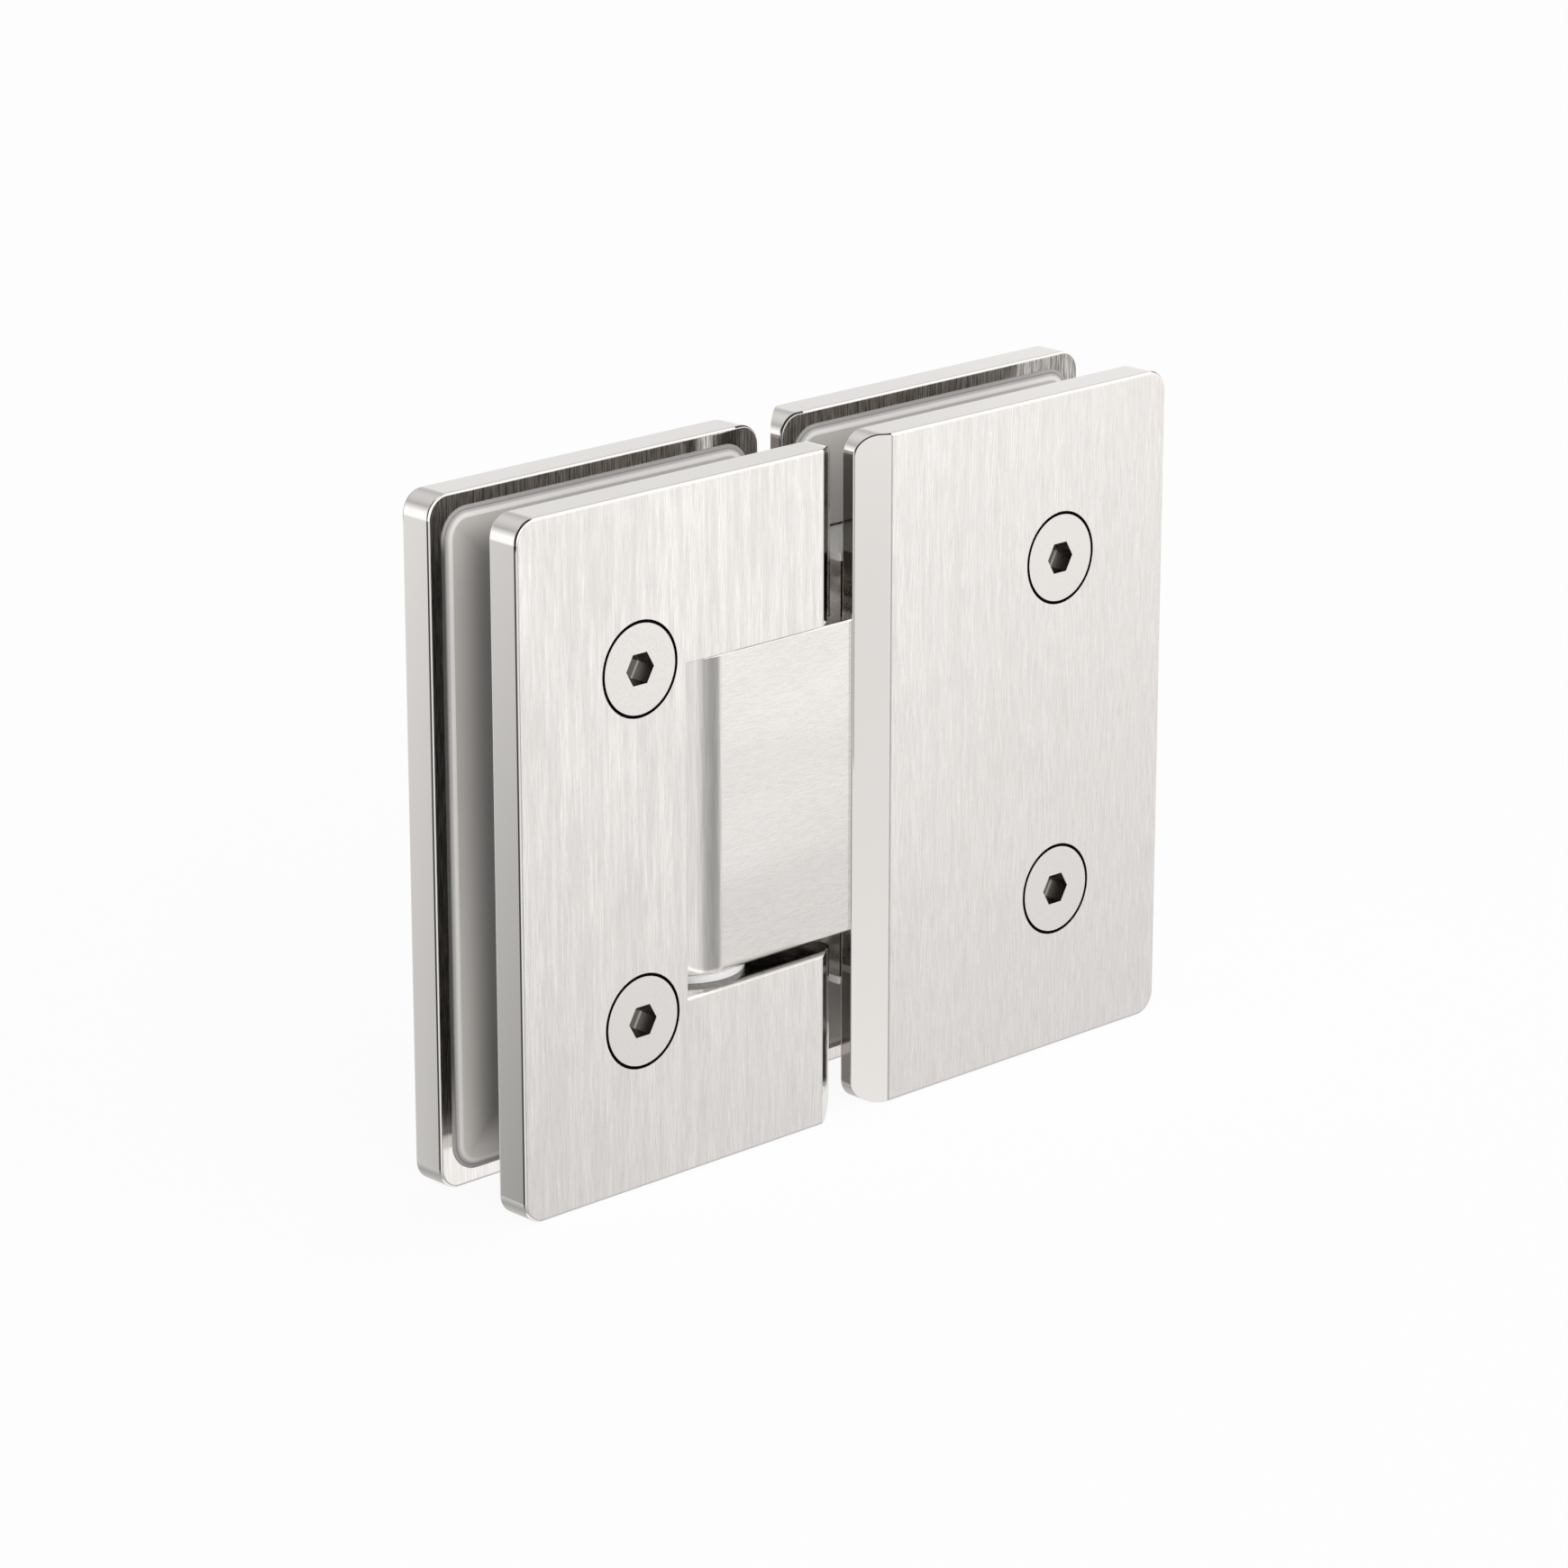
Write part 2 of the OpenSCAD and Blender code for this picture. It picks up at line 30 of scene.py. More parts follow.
class Nodes:
    """A node tree with short calls for the nodes used here."""

    def __init__(self, tree):
        self.tree = tree
        tree.nodes.clear()

    def add(self, kind, **settings):
        node = self.tree.nodes.new(kind)
        for name, value in settings.items():
            setattr(node, name, value)
        return node

    def link(self, source, target):
        self.tree.links.new(source, target)

    def put(self, value, socket):
        """Sets a socket to a constant or links an output to it."""
        if isinstance(value, bpy.types.NodeSocket):
            self.link(value, socket)
        else:
            socket.default_value = value

    def output(self, source, kind="ShaderNodeOutputMaterial"):
        """Ends the tree in its output node."""
        self.link(source, self.add(kind).inputs["Surface"])

    def math(self, operation, a, b=0.0):
        node = self.add("ShaderNodeMath", operation=operation)
        for value, socket in zip((a, b), node.inputs):
            self.put(value, socket)
        return node.outputs[0]

    def product(self, first, *others):
        for other in others:
            first = self.math("MULTIPLY", first, other)
        return first

    def absolute(self, value):
        return self.math("ABSOLUTE", value)

    def away(self, value, middle):
        """How far a coordinate is from a middle."""
        return self.absolute(self.math("SUBTRACT", value, middle))

    def length(self, a, b):
        """Length of the vector with two parts a and b."""
        return self.math("SQRT", self.math("ADD", self.product(a, a), self.product(b, b)))

    def mix(self, factor, a, b):
        """A colour between a and b."""
        node = self.add("ShaderNodeMix", data_type="RGBA")
        self.put(factor, node.inputs["Factor"])
        self.put(a, node.inputs[6])
        self.put(b, node.inputs[7])
        return node.outputs[2]

    def lerp(self, factor, a, b):
        """A number between a and b."""
        node = self.add("ShaderNodeMix", data_type="FLOAT")
        self.put(factor, node.inputs["Factor"])
        self.put(a, node.inputs[2])
        self.put(b, node.inputs[3])
        return node.outputs[0]

    def noise(self, vector, scale, detail=2.0, rough=0.5):
        node = self.add("ShaderNodeTexNoise")
        self.link(vector, node.inputs["Vector"])
        node.inputs["Scale"].default_value = scale
        node.inputs["Detail"].default_value = detail
        node.inputs["Roughness"].default_value = rough
        return node.outputs["Fac"]

    def lines(self, vector, scales, detail=2.0, rough=0.5, turn=(0, 0, 0)):
        """Noise drawn out along an axis, with a scale for each axis."""
        node = self.add("ShaderNodeMapping")
        self.link(vector, node.inputs["Vector"])
        node.inputs["Scale"].default_value = scales
        node.inputs["Rotation"].default_value = turn
        return self.noise(node.outputs[0], 1.0, detail, rough)

    def ramp(self, value, low, high, a=0.0, b=1.0):
        """a up to low, b from high on, and smooth between them."""
        node = self.add("ShaderNodeMapRange", interpolation_type="SMOOTHSTEP")
        self.link(value, node.inputs["Value"])
        for name, number in (("From Min", low), ("From Max", high), ("To Min", a), ("To Max", b)):
            node.inputs[name].default_value = number
        return node.outputs[0]

    def up_at(self, value, place, low, high):
        """Rises from 0 to 1 between low and high, both in mm from a place."""
        return self.ramp(value, place + low * MM, place + high * MM)

    def down_at(self, value, place, low, high):
        """Falls from 1 to 0 between low and high, both in mm from a place."""
        return self.ramp(value, place + low * MM, place + high * MM, 1.0, 0.0)

    def place(self):
        """The vector of the point in the hinge's own frame, and its x, y and z."""
        at = self.add("ShaderNodeTexCoord").outputs["Object"]
        split = self.add("ShaderNodeSeparateXYZ")
        self.link(at, split.inputs[0])
        return at, split.outputs["X"], split.outputs["Y"], split.outputs["Z"]


def new_material(name):
    material = bpy.data.materials.new(name)
    material.use_nodes = True
    return material, Nodes(material.node_tree)


def surface(nodes, **inputs):
    """Ends the tree in a Principled surface with these inputs."""
    shader = nodes.add("ShaderNodeBsdfPrincipled")
    for name, value in inputs.items():
        nodes.put(value, shader.inputs[name.replace("_", " ")])
    nodes.output(shader.outputs[0])


def bump(nodes, height, distance):
    node = nodes.add("ShaderNodeBump")
    nodes.link(height, node.inputs["Height"])
    node.inputs["Distance"].default_value = distance
    return node.outputs[0]


# --- places on the hinge that the materials know -------------------------------------------------

# Plates: half the depth to their faces, half the gap between the pairs, the outline and the bevel.
OUTER_FACE = 10.5 * MM
INNER_FACE = 5.5 * MM
CLAMP_EDGE = 2.0 * MM
PLATE_END = 57.0 * MM
PLATE_TOP = 90.0 * MM
PLATE_MID_X = 29.5 * MM
MID_Z = 45.0 * MM
CORNER_R = 3.0 * MM
BEVEL_END = 6.0 * MM

# Notch, pivot, and the height from which the inner faces are seen past the gasket.
NOTCH_HALF = 22.0 * MM
NOTCH_END = 29.6 * MM
PIVOT_X = -20.5 * MM
POLISH_Z = 6.2 * MM

# Clamp screws, from the middle of the hinge.
SCREW_X = 37.2 * MM
SCREW_Z = 22.85 * MM
SEAT_R = 6.25 * MM
HEAD_R = 5.8 * MM
SOCKET_R = 3.2 * MM
SOCKET_FLOOR = OUTER_FACE - 2.9 * MM

# Gaskets: the face on the glass, and the lip along the edge.
GLASS_FACE = 5.0 * MM
LIP_FACE = 5.4 * MM


def edge_distance(nodes, x, z):
    """Distance to the rounded outline of the clamp plate that covers the point."""
    across = nodes.away(nodes.absolute(x), PLATE_MID_X)
    across = nodes.math("SUBTRACT", across, PLATE_MID_X - CLAMP_EDGE - CORNER_R)
    up = nodes.math("SUBTRACT", nodes.away(z, MID_Z), MID_Z - CORNER_R)
    inside = nodes.math("MINIMUM", nodes.math("MAXIMUM", across, up), 0.0)
    outside = nodes.length(nodes.math("MAXIMUM", across, 0.0), nodes.math("MAXIMUM", up, 0.0))
    return nodes.math("SUBTRACT", CORNER_R, nodes.math("ADD", outside, inside))


def screw_distance(nodes, x, z):
    """Distance to the nearest clamp screw's axis."""
    across = nodes.math("SUBTRACT", nodes.absolute(x), SCREW_X)
    up = nodes.math("SUBTRACT", nodes.away(z, MID_Z), SCREW_Z)
    return nodes.length(across, up)


# --- tones --------------------------------------------------------------------------------------

STEEL = 0.87
SCREW = 0.83
WARM = 0.034
GRAIN_SPREAD = 0.03


def grey(level, warm=0.0):
    """A grey with a little warmth, as linear RGBA."""
    return (level * (1 + warm), level, level * (1 - warm), 1)


def steel(share=1.0):
    """The bright steel's tone, or a share of it."""
    return grey(STEEL * share, WARM)


def around(level, warm):
    """The two ends of a grained tone, a little darker and a little lighter."""
    return grey(level * (1 - GRAIN_SPREAD), warm), grey(level * (1 + GRAIN_SPREAD), warm)


WHITE = (1, 1, 1, 1)
# Painted shade in the ring gap round each screw head.
SEAT_RING_SHADE = grey(0.02)
# A painted dark reflection along the rounded edges.
EDGE_REFLECTION_LINE = grey(0.05)

# Each pair is the tone at one end of a ramp or noise and at the other end.
# Painted light and shade on the polished inner faces: light at the foot, dark in the middle,
# lighter towards the top.
POLISH_FOOT_LIGHT = grey(0.74, 0.04), grey(0.86, 0.03)
POLISH_MIDDLE_SHADE = grey(0.11, 0.08), grey(0.34, 0.06)
POLISH_TOP_LIGHT = grey(0.12, 0.08), grey(0.60, 0.05)
# Painted shade on the plates' end faces, darker towards the top.
END_FACE_SHADE = grey(0.43, 0.08), grey(0.23, 0.10)
# Painted shade on the notch's floor.
NOTCH_FLOOR_SHADE = grey(0.12, 0.08), grey(0.20, 0.06)
# Painted shade down the socket walls, and a painted highlight at the socket's crease.
SOCKET_WALL_SHADE = grey(0.22, 0.06), grey(0.05, 0.06)
SOCKET_CREASE_HIGHLIGHT = grey(0.75, 0.03)
# Painted shade on the core inside the clamp.
CORE_SHADE = grey(0.38, 0.04)
RUBBER = grey(0.60, 0.045), grey(0.66, 0.045)
# Painted light and shade on the gasket: a lit foot, shaded depths, a highlight on the bend, and a
# shaded side, root and lip.
RUBBER_FOOT_LIGHT = grey(0.87, 0.04)
RUBBER_DEEP_SHADE = grey(0.62, 0.03), grey(0.28, 0.03)
RUBBER_BEND_HIGHLIGHT = grey(0.90, 0.03)
RUBBER_SIDE_SHADE = grey(0.50, 0.02)
RUBBER_ROOT_SHADE = grey(0.20, 0.02)
RUBBER_LIP_SHADE = grey(0.11, 0.03), grey(0.46, 0.03)

# The parts of a noise's range that a mix runs over.
SOFT = 0.3, 0.7
CLEAR = 0.35, 0.65
SHARP = 0.38, 0.62

# The grain of a plain finish: scale, detail, share that the roughness varies by, and height in mm.
METAL_GRAIN = 6000, 2.0, 0.15, 0.001
PLASTIC_GRAIN = 3000, 3.0, 0.10, 0.003


# --- materials ----------------------------------------------------------------------------------

def plate_steel():
    """Brushed outer faces, glossy edges and bevels with painted dark reflection lines, polished
    inner faces and end faces with painted light and shade, and painted shade in the screw seats
    and on the notch floor.
    """
    material, n = new_material("plate_steel")
    at, x, y, z = n.place()
    side, depth, rise = n.absolute(x), n.absolute(y), n.away(z, MID_Z)
    rim = edge_distance(n, x, z)
    fine = n.lines(at, (10500, 10500, 280), 3.0, 0.65)
    broad = n.lines(at, (1200, 1200, 60))

    face = n.up_at(depth, OUTER_FACE, -0.03, -0.01)
    inner = n.down_at(depth, INNER_FACE, 0.01, 0.04)
    seat = n.product(
        n.down_at(screw_distance(n, x, z), SEAT_R, 0.02, 0.06),
        n.down_at(depth, OUTER_FACE, -0.10, -0.04),
    )
    notch = n.product(
        n.down_at(rise, NOTCH_HALF, 0.04, 0.08),
        n.up_at(x, -NOTCH_END, 0.0, 0.05),
        n.down_at(depth, OUTER_FACE, -0.12, -0.09),
        n.down_at(x, 0.0, 0.0, 0.1),
        n.down_at(z, MID_Z, 0.0, 15.0),
    )
    # The plates' end faces at the pivot, above and below the notch, in painted shade that darkens
    # towards the top.
    end = n.product(
        n.down_at(side, CLAMP_EDGE, 0.02, 0.05),
        n.up_at(rise, NOTCH_HALF, -0.9, 0.0),
    )
    # The dark lines along the upper outer corners and on the bevels' rims, painted as dark
    # reflections in the small rounded edges.
    bend = n.product(
        n.down_at(rim, 0.0, 0.12, 0.20),
        n.up_at(depth, OUTER_FACE, -0.36, -0.28),
        n.up_at(side, PLATE_END - CORNER_R, 0.0, 0.8),
        n.up_at(z, PLATE_TOP, -4.0, -3.2),
    )
    arris_reflection = n.product(
        n.up_at(rim, 0.0, 0.01, 0.03),
        n.down_at(rim, 0.0, 0.16, 0.26),
        n.down_at(side, BEVEL_END, -0.05, 0.0),
        n.up_at(side, CLAMP_EDGE, 0.10, 0.20),
        n.down_at(depth, OUTER_FACE, -0.06, -0.03),
        n.up_at(z, MID_Z, 0.0, 3.0),
    )

    streaks = n.ramp(fine, *SHARP)
    # Painted shade and reflection on the polished inner faces, with painted light at the foot and
    # towards the top.
    polished = n.mix(
        n.up_at(z, PLATE_TOP, -10.0, -4.0),
        n.mix(streaks, *POLISH_MIDDLE_SHADE), n.mix(streaks, *POLISH_TOP_LIGHT),
    )
    polished = n.mix(n.up_at(z, POLISH_Z, 0.0, 5.0), n.mix(streaks, *POLISH_FOOT_LIGHT), polished)
    # Painted shade on the notch's floor, back to plain steel near its front edge.
    floor = n.mix(n.ramp(broad, *SOFT), *NOTCH_FLOOR_SHADE)
    floor = n.mix(n.up_at(depth, OUTER_FACE, -0.9, -0.15), floor, steel())
    brushed = n.mix(n.ramp(fine, *CLEAR), steel(0.88), steel(1.04))
    colour = n.mix(face, steel(), brushed)
    # Painted shade on the end faces.
    colour = n.mix(end, colour, n.mix(n.up_at(z, MID_Z, -21.0, 21.0), *END_FACE_SHADE))
    colour = n.mix(inner, colour, polished)
    colour = n.mix(notch, colour, floor)
    # Painted shade in the seat's ring round each screw head.
    colour = n.mix(seat, colour, SEAT_RING_SHADE)
    # Painted dark reflection lines on the rounded edges.
    colour = n.mix(n.math("MAXIMUM", arris_reflection, bend), colour, EDGE_REFLECTION_LINE)

    rough = n.lerp(face, 0.07, n.ramp(broad, *SOFT, 0.24, 0.32))
    rough = n.lerp(inner, rough, n.ramp(broad, *SOFT, 0.05, 0.12))
    rough = n.lerp(seat, rough, 0.7)
    height = n.product(
        fine, n.lerp(inner, n.lerp(face, 0.1, 1.0), 0.4), n.lerp(notch, 1.0, 0.1),
    )
    surface(
        n, Base_Color=colour, Roughness=rough, Metallic=1.0, Normal=bump(n, height, 0.002 * MM),
    )
    return material


def knuckle_steel():
    """The knuckle's slanting grain with painted shade towards the foot, its turned round, and the
    polished core inside the clamp in painted shade.
    """
    material, n = new_material("knuckle_steel")
    at, x, _, z = n.place()
    slant = (0, math.radians(4), 0)
    grain = n.lines(at, (600, 600, 9000), 3.0, 0.65, slant)
    clouds = n.lines(at, (16, 16, 70), 1.0, turn=slant)
    speck = n.noise(at, 7000, 2.0, 0.6)
    turning = n.lines(at, (5000, 5000, 150))
    core = n.up_at(x, CLAMP_EDGE, 0.0, 0.02)
    turned = n.down_at(x, PIVOT_X, -0.1, 0.0)

    brushed = n.mix(n.ramp(grain, *CLEAR), steel(0.87), steel(0.99))
    brushed = n.mix(n.ramp(speck, 0.4, 0.8), brushed, steel(1.03))
    # Painted shade: a tenth darker towards the foot.
    brushed = n.mix(n.ramp(z, 24 * MM, 52 * MM, 0.10, 0.0), brushed, grey(0.0))
    colour = n.mix(turned, brushed, n.mix(n.ramp(turning, *CLEAR), steel(0.88), steel()))
    # Painted shade on the core inside the clamp.
    colour = n.mix(core, colour, CORE_SHADE)

    rough = n.lerp(turned, n.ramp(clouds, *CLEAR, 0.20, 0.28), 0.14)
    rough = n.lerp(core, rough, 0.1)
    height = n.math("ADD", n.product(grain, 0.7), n.product(speck, 0.3))
    height = n.lerp(turned, height, n.product(turning, 0.3))
    height = n.product(height, n.lerp(core, 1.0, 0.2))
    surface(
        n, Base_Color=colour, Roughness=rough, Metallic=1.0, Normal=bump(n, height, 0.0015 * MM),
    )
    return material


def screw_steel():
    """Satin heads with painted shade on the rim in the seat's ring, painted shade in the sockets,
    and a painted highlight at the socket's crease.
    """
    material, n = new_material("screw_steel")
    at, x, y, z = n.place()
    depth = n.absolute(y)
    reach = screw_distance(n, x, z)
    grain = n.noise(at, 5000)
    rim = n.product(
        n.up_at(reach, HEAD_R, -0.05, -0.02),
        n.down_at(depth, OUTER_FACE, -0.08, -0.03),
    )
    socket = n.product(
        n.down_at(reach, SOCKET_R, 0.0, 0.2),
        n.down_at(depth, OUTER_FACE, -0.15, -0.02),
    )
    crease = n.product(
        n.down_at(depth, SOCKET_FLOOR, 0.05, 0.25),
        n.up_at(depth, SOCKET_FLOOR, 0.005, 0.03),
    )
    # Painted shade down the socket walls, darker deeper in, and a painted highlight at the crease
    # by the socket floor.
    inside = n.mix(n.up_at(depth, OUTER_FACE, -0.30, -0.20), *SOCKET_WALL_SHADE)
    inside = n.mix(crease, inside, SOCKET_CREASE_HIGHLIGHT)
    colour = n.mix(socket, n.mix(grain, *around(SCREW, WARM)), inside)
    # Painted shade on the head's rim in the seat's ring.
    colour = n.mix(rim, colour, SEAT_RING_SHADE)
    rough = n.lerp(socket, n.ramp(grain, *SOFT, 0.26, 0.32), 0.2)
    rough = n.lerp(rim, rough, 0.7)
    surface(
        n, Base_Color=colour, Roughness=rough, Metallic=1.0, Normal=bump(n, grain, 0.001 * MM),
    )
    return material


def gasket_rubber():
    """Grey rubber with a painted highlight on the bend and painted shade on the lip along its
    edge, painted light towards the foot, and painted shade deep inside.
    """
    material, n = new_material("gasket")
    at, x, y, z = n.place()
    grain = n.noise(at, 3000, 3.0)
    drop = n.math("SUBTRACT", n.absolute(y), GLASS_FACE)
    deep = n.up_at(edge_distance(n, x, z), 0.0, 3.5, 9.0)
    inward = n.up_at(n.absolute(x), 0.0, 26.0, 34.0)
    lip_lit_ends = n.math("MAXIMUM", n.down_at(z, 0.0, 5.0, 18.0), n.up_at(z, PLATE_TOP, -8.0, -4.0))
    lip = n.up_at(n.absolute(y), LIP_FACE, -0.02, -0.01)
    colour = n.mix(grain, *RUBBER)
    # Painted light: lighter towards the foot.
    colour = n.mix(n.ramp(z, 5 * MM, 55 * MM, 0.60, 0.0), colour, RUBBER_FOOT_LIGHT)
    # Painted shade, darker deep inside, away from the plate's outline.
    colour = n.mix(deep, colour, n.mix(inward, *RUBBER_DEEP_SHADE))
    # Down its edge, from the bend at the glass face to the root on the plate: a painted highlight
    # on the bend, painted shade on the side, and darker painted shade at the root.
    colour = n.mix(n.up_at(drop, 0.0, 0.0, 0.01), colour, RUBBER_BEND_HIGHLIGHT)
    colour = n.mix(n.up_at(drop, 0.0, 0.05, 0.20), colour, RUBBER_SIDE_SHADE)
    colour = n.mix(n.up_at(drop, 0.0, 0.20, 0.38), colour, RUBBER_ROOT_SHADE)
    # Painted shade on the lip, with painted light near the top and the bottom.
    colour = n.mix(lip, colour, n.mix(lip_lit_ends, *RUBBER_LIP_SHADE))
    surface(
        n, Base_Color=colour, Metallic=0.0, Roughness=n.ramp(grain, *SOFT, 0.42, 0.52),
        Normal=bump(n, grain, 0.003 * MM),
    )
    return material


def plain(name, level, rough, warm, metal):
    """One tone under a fine grain, as ground steel or as moulded plastic."""
    material, n = new_material(name)
    scale, detail, spread, height = METAL_GRAIN if metal else PLASTIC_GRAIN
    grain = n.noise(n.place()[0], scale, detail)
    surface(
        n, Base_Color=n.mix(grain, *around(level, warm)), Metallic=float(metal),
        Roughness=n.ramp(grain, *SOFT, rough * (1 - spread), rough * (1 + spread)),
        Normal=bump(n, grain, height * MM),
    )
    return material


FINISH = {
    "plate_steel": plate_steel(),
    "knuckle_steel": knuckle_steel(),
    # The core's dark tone is painted shade inside the clamp.
    "core_steel": plain("core_steel", 0.38, 0.1, 0.04, metal=True),
    "screw_steel": screw_steel(),
    "pin_steel": plain("pin_steel", 0.7, 0.2, WARM, metal=True),
    "gasket": gasket_rubber(),
    "liner": plain("liner", 0.75, 0.4, 0.01, metal=False),
    "bush": plain("bush", 0.95, 0.35, 0.004, metal=False),
}

for part in frame["record"]["subparts"]:
    mesh = frame["nodes"][part["node"]].data
    mesh.materials.clear()
    mesh.materials.append(FINISH[part["material_slot"]])


# --- floor, backdrop and light ------------------------------------------------------------------

# The soft panels that stand round the hinge, as light levels over the azimuth, in degrees from +Y
# towards +X, in rows by elevation. They close the sphere from 60 degrees below the horizon to 75
# above it. The narrow dark flags among them draw the lines along the edges.
STUDIO = {
    -60: [(-180, 0.50), (180, 0.50)],
    -40: [(-180, 0.55), (-75, 0.35), (-44, 0.30), (0, 0.50), (65, 0.70), (136, 0.60), (180, 0.55)],
    -23: [
        (-180, 0.50), (-172, 0.72), (-162, 0.90), (-150, 0.97), (-128, 0.85), (-116, 0.30),
        (-106, 0.05), (-58, 0.05), (-50, 0.28), (-41.5, 0.30), (-40.2, 0.68), (-39, 0.70),
        (0, 0.60), (45, 0.85), (100, 0.75), (130, 0.54), (134, 0.60), (137, 0.81), (141, 1.04),
        (145, 0.62), (148, 0.41), (164, 0.38), (170, 0.44), (180, 0.50),
    ],
    -18: [
        (-180, 0.50), (-172, 0.72), (-162, 0.88), (-150, 0.81), (-128, 0.85), (-116, 0.30),
        (-106, 0.05), (-58, 0.05), (-50, 0.38), (-41.5, 0.47), (-40.2, 0.71), (-39, 0.73),
        (0, 0.70), (45, 0.90), (100, 0.80), (130, 0.69), (134, 0.75), (137, 1.15), (141, 1.40),
        (145, 0.64), (148, 0.41), (164, 0.38), (170, 0.44), (180, 0.50),
    ],
    -14: [
        (-180, 0.54), (-172, 0.76), (-162, 0.90), (-150, 0.79), (-128, 0.90), (-116, 0.30),
        (-106, 0.05), (-58, 0.05), (-50, 0.48), (-41.5, 0.66), (-40.2, 0.82), (-39, 0.84),
        (0, 0.80), (45, 0.95), (100, 0.90), (130, 0.80), (134, 0.89), (137, 1.40), (141, 1.74),
        (145, 0.75), (148, 0.43), (164, 0.40), (170, 0.46), (180, 0.54),
    ],
    -5: [
        (-180, 1.00), (-150, 1.30), (-110, 1.30), (-95, 0.30), (-75, 0.20), (-58, 0.60),
        (-44, 1.15), (0, 1.10), (45, 1.00), (120, 1.00), (140, 1.50), (158, 0.50),
        (172, 0.80), (180, 1.00),
    ],
    11: [
        (-180, 1.50), (-170, 2.60), (-130, 2.60), (-112, 1.00), (-100, 0.08), (-58, 0.08),
        (-46, 1.15), (0, 1.10), (38, 1.07), (44, 0.96), (136, 1.15), (180, 1.50),
    ],
    18: [
        (-180, 1.50), (-170, 2.60), (-130, 2.60), (-112, 1.00), (-100, 0.08), (-58, 0.08),
        (-46, 0.90), (0, 0.85), (38, 0.76), (44, 0.71), (70, 1.15), (136, 1.15), (180, 1.50),
    ],
    30: [
        (-180, 1.50), (-170, 2.60), (-130, 2.60), (-112, 0.80), (-100, 0.08), (-56, 0.08),
        (-46, 0.48), (0, 0.50), (38, 0.52), (60, 0.55), (72, 1.10), (136, 1.20), (180, 1.50),
    ],
    48: [
        (-180, 1.00), (-150, 1.40), (-125, 0.60), (-118, 0.08), (-60, 0.08), (-46, 0.75),
        (30, 0.75), (60, 0.65), (76, 1.10), (136, 1.10), (180, 1.00),
    ],
    60: [
        (-180, 0.90), (-150, 0.90), (-128, 0.40), (-120, 0.10), (-60, 0.10), (-46, 0.35),
        (58, 0.35), (76, 0.80), (136, 0.90), (180, 0.90),
    ],
    75: [(-180, 0.40), (180, 0.40)],
}
STUDIO_REACH = 4.0
STUDIO_STEP = 5

FLOOR_SIZE = 8.0
FLOOR_Z = -0.2 * MM
FLOOR_TONES = grey(0.94), grey(0.97)
FLOOR_GLOW = 0.93

CAMERA_PLACE = (-0.47877, -0.49629, 0.26172)
CAMERA_DOWN = 17.632
CAMERA_TURN = -43.803
CAMERA_LENS = 128.67
CAMERA_SENSOR = 36


def level_at(stops, azimuth):
    """Light level of one row of the studio at an azimuth."""
    for (a, low), (b, high) in zip(stops, stops[1:]):
        if azimuth <= b:
            return low + (high - low) * (azimuth - a) / (b - a)


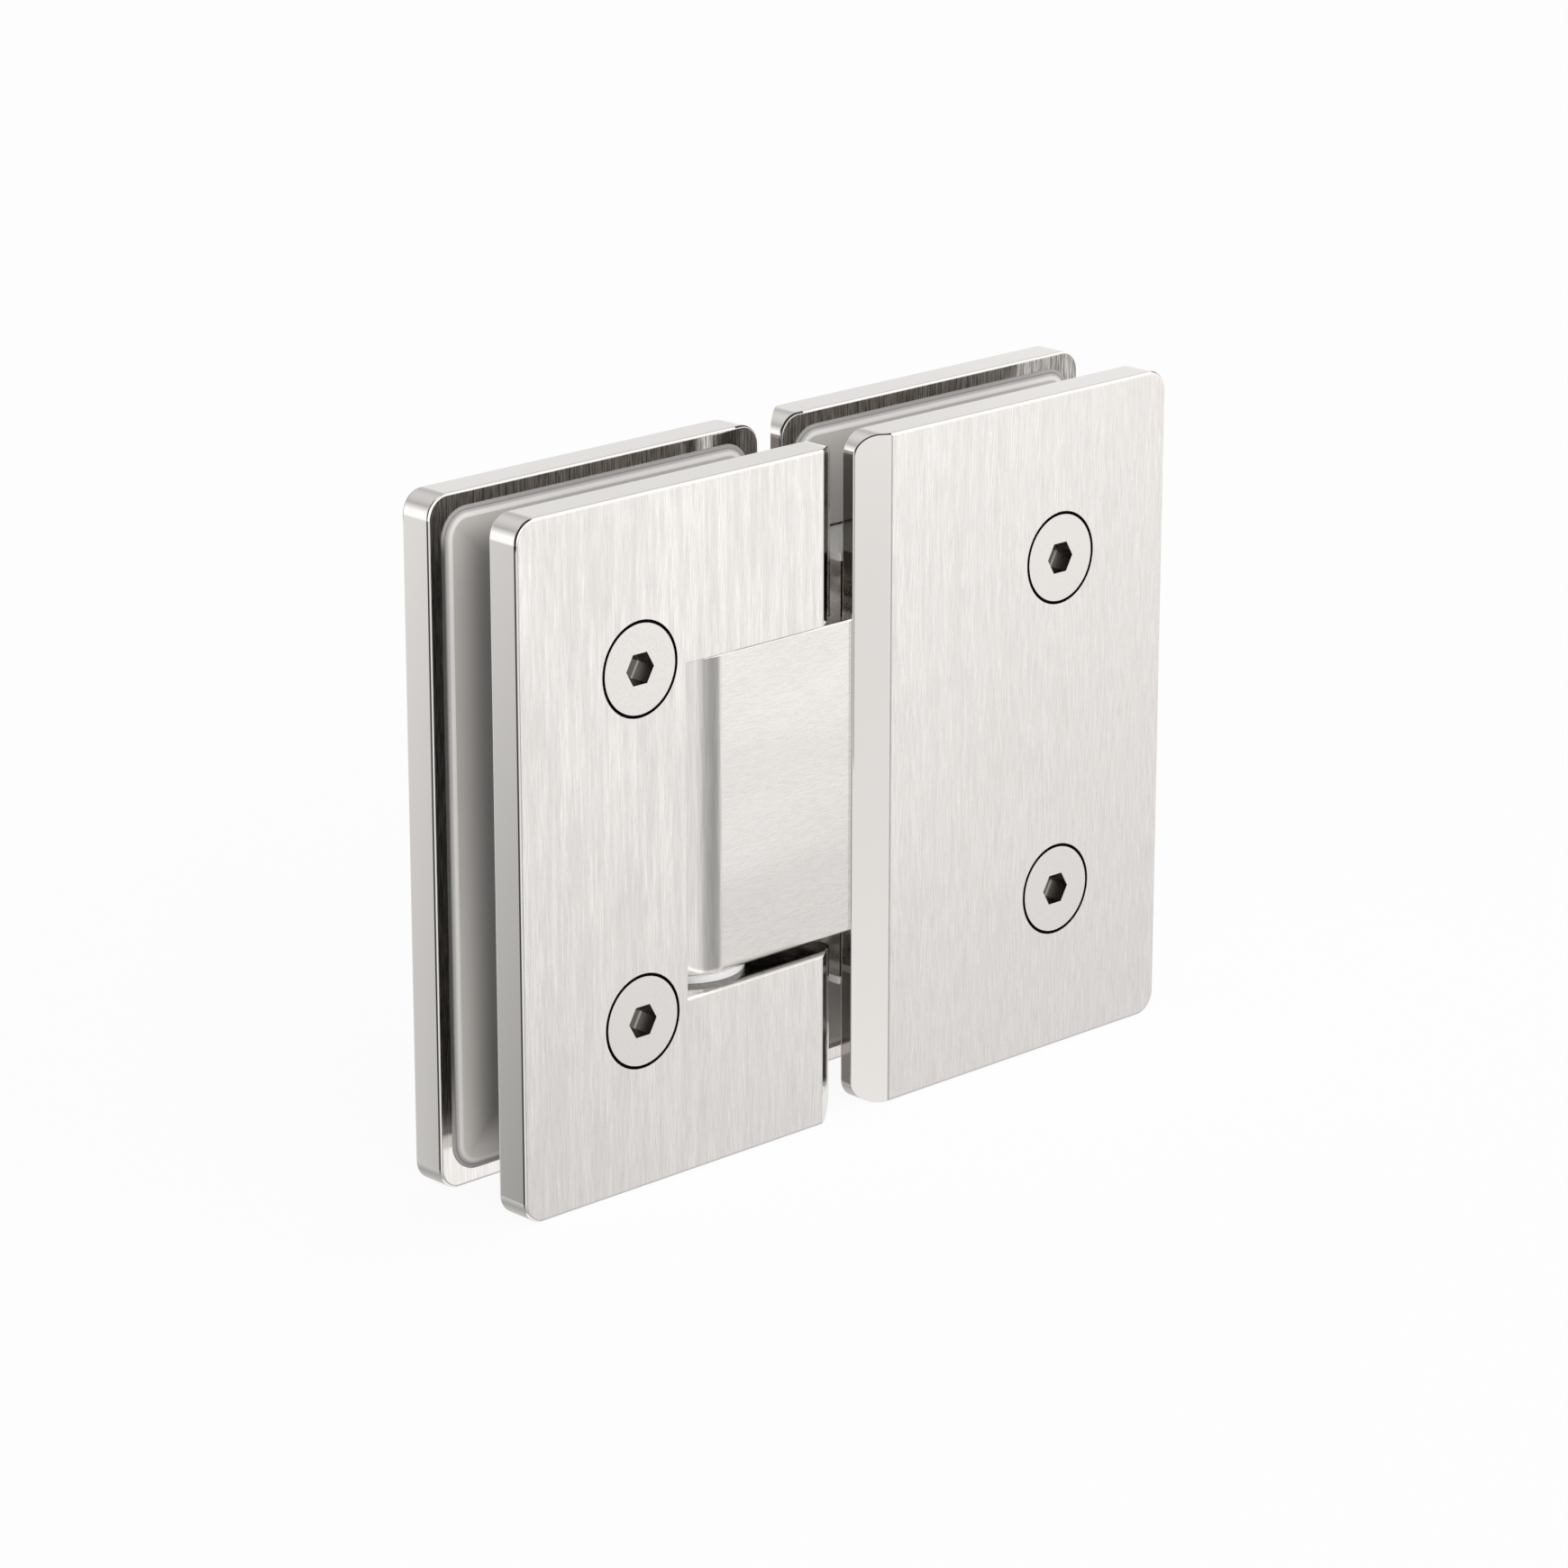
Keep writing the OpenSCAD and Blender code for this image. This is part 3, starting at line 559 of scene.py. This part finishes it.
def make_panels():
    """The studio's panels, on a sphere round the hinge and out of the camera's sight."""
    azimuths = {degrees for stops in STUDIO.values() for degrees, _ in stops}
    azimuths = sorted(azimuths | set(range(-180, 181, STUDIO_STEP)))
    points = []
    levels = []
    for elevation, stops in STUDIO.items():
        up = math.radians(elevation)
        for degrees in azimuths:
            turn = math.radians(degrees)
            east, north = math.sin(turn) * math.cos(up), math.cos(turn) * math.cos(up)
            points.append(Vector((east, north, math.sin(up))) * STUDIO_REACH)
            levels.append(level_at(stops, degrees))
    wide = len(azimuths)
    faces = []
    for row in range(len(STUDIO) - 1):
        for column in range(wide - 1):
            first = row * wide + column
            faces.append((first, first + 1, first + 1 + wide, first + wide))
    mesh = bpy.data.meshes.new("studio_panels")
    mesh.from_pydata(points, [], faces)
    mesh.attributes.new("level", "FLOAT", "POINT").data.foreach_set("value", levels)
    material, n = new_material("panel_light")
    glow = n.add("ShaderNodeEmission")
    level = n.add("ShaderNodeAttribute", attribute_name="level")
    n.link(level.outputs["Fac"], glow.inputs["Strength"])
    n.output(glow.outputs[0])
    mesh.materials.append(material)
    panels = bpy.data.objects.new("studio_panels", mesh)
    scene.collection.objects.link(panels)
    panels.visible_camera = False
    panels.visible_transmission = False


def make_world():
    """The plain white backdrop."""
    world = bpy.data.worlds.new("backdrop")
    scene.world = world
    world.use_nodes = True
    n = Nodes(world.node_tree)
    background = n.add("ShaderNodeBackground")
    background.inputs["Color"].default_value = WHITE
    n.output(background.outputs[0], "ShaderNodeOutputWorld")


def make_floor():
    """A pale floor that the camera sees as white with the hinge's soft shadow."""
    bpy.ops.mesh.primitive_plane_add(size=FLOOR_SIZE, location=(0, 0, FLOOR_Z))
    floor = bpy.context.object
    floor.name = "floor"
    floor.visible_glossy = False
    material, n = new_material("floor_white")
    diffuse = n.add("ShaderNodeBsdfDiffuse")
    n.link(n.mix(n.noise(n.place()[0], 900), *FLOOR_TONES), diffuse.inputs["Color"])
    path = n.add("ShaderNodeLightPath")
    seen = n.math("MAXIMUM", path.outputs["Is Camera Ray"], path.outputs["Is Glossy Ray"])
    seen = n.math("MAXIMUM", seen, path.outputs["Is Transmission Ray"])
    white = n.add("ShaderNodeEmission")
    white.inputs["Color"].default_value = WHITE
    blend = n.add("ShaderNodeMixShader")
    n.link(n.product(seen, FLOOR_GLOW), blend.inputs[0])
    n.link(diffuse.outputs[0], blend.inputs[1])
    n.link(white.outputs[0], blend.inputs[2])
    n.output(blend.outputs[0])
    floor.data.materials.append(material)


def make_camera():
    """The photograph's camera, turned and lowered by its angles in degrees."""
    camera = bpy.data.objects.new("camera", bpy.data.cameras.new("camera"))
    scene.collection.objects.link(camera)
    camera.location = CAMERA_PLACE
    camera.rotation_euler = (math.radians(90 - CAMERA_DOWN), 0, math.radians(CAMERA_TURN))
    camera.data.sensor_width = CAMERA_SENSOR
    camera.data.lens = CAMERA_LENS
    camera.data.clip_start = 0.01
    camera.data.clip_end = 20
    scene.camera = camera


make_floor()
make_world()
make_panels()
make_camera()
scene.view_settings.view_transform = "Standard"
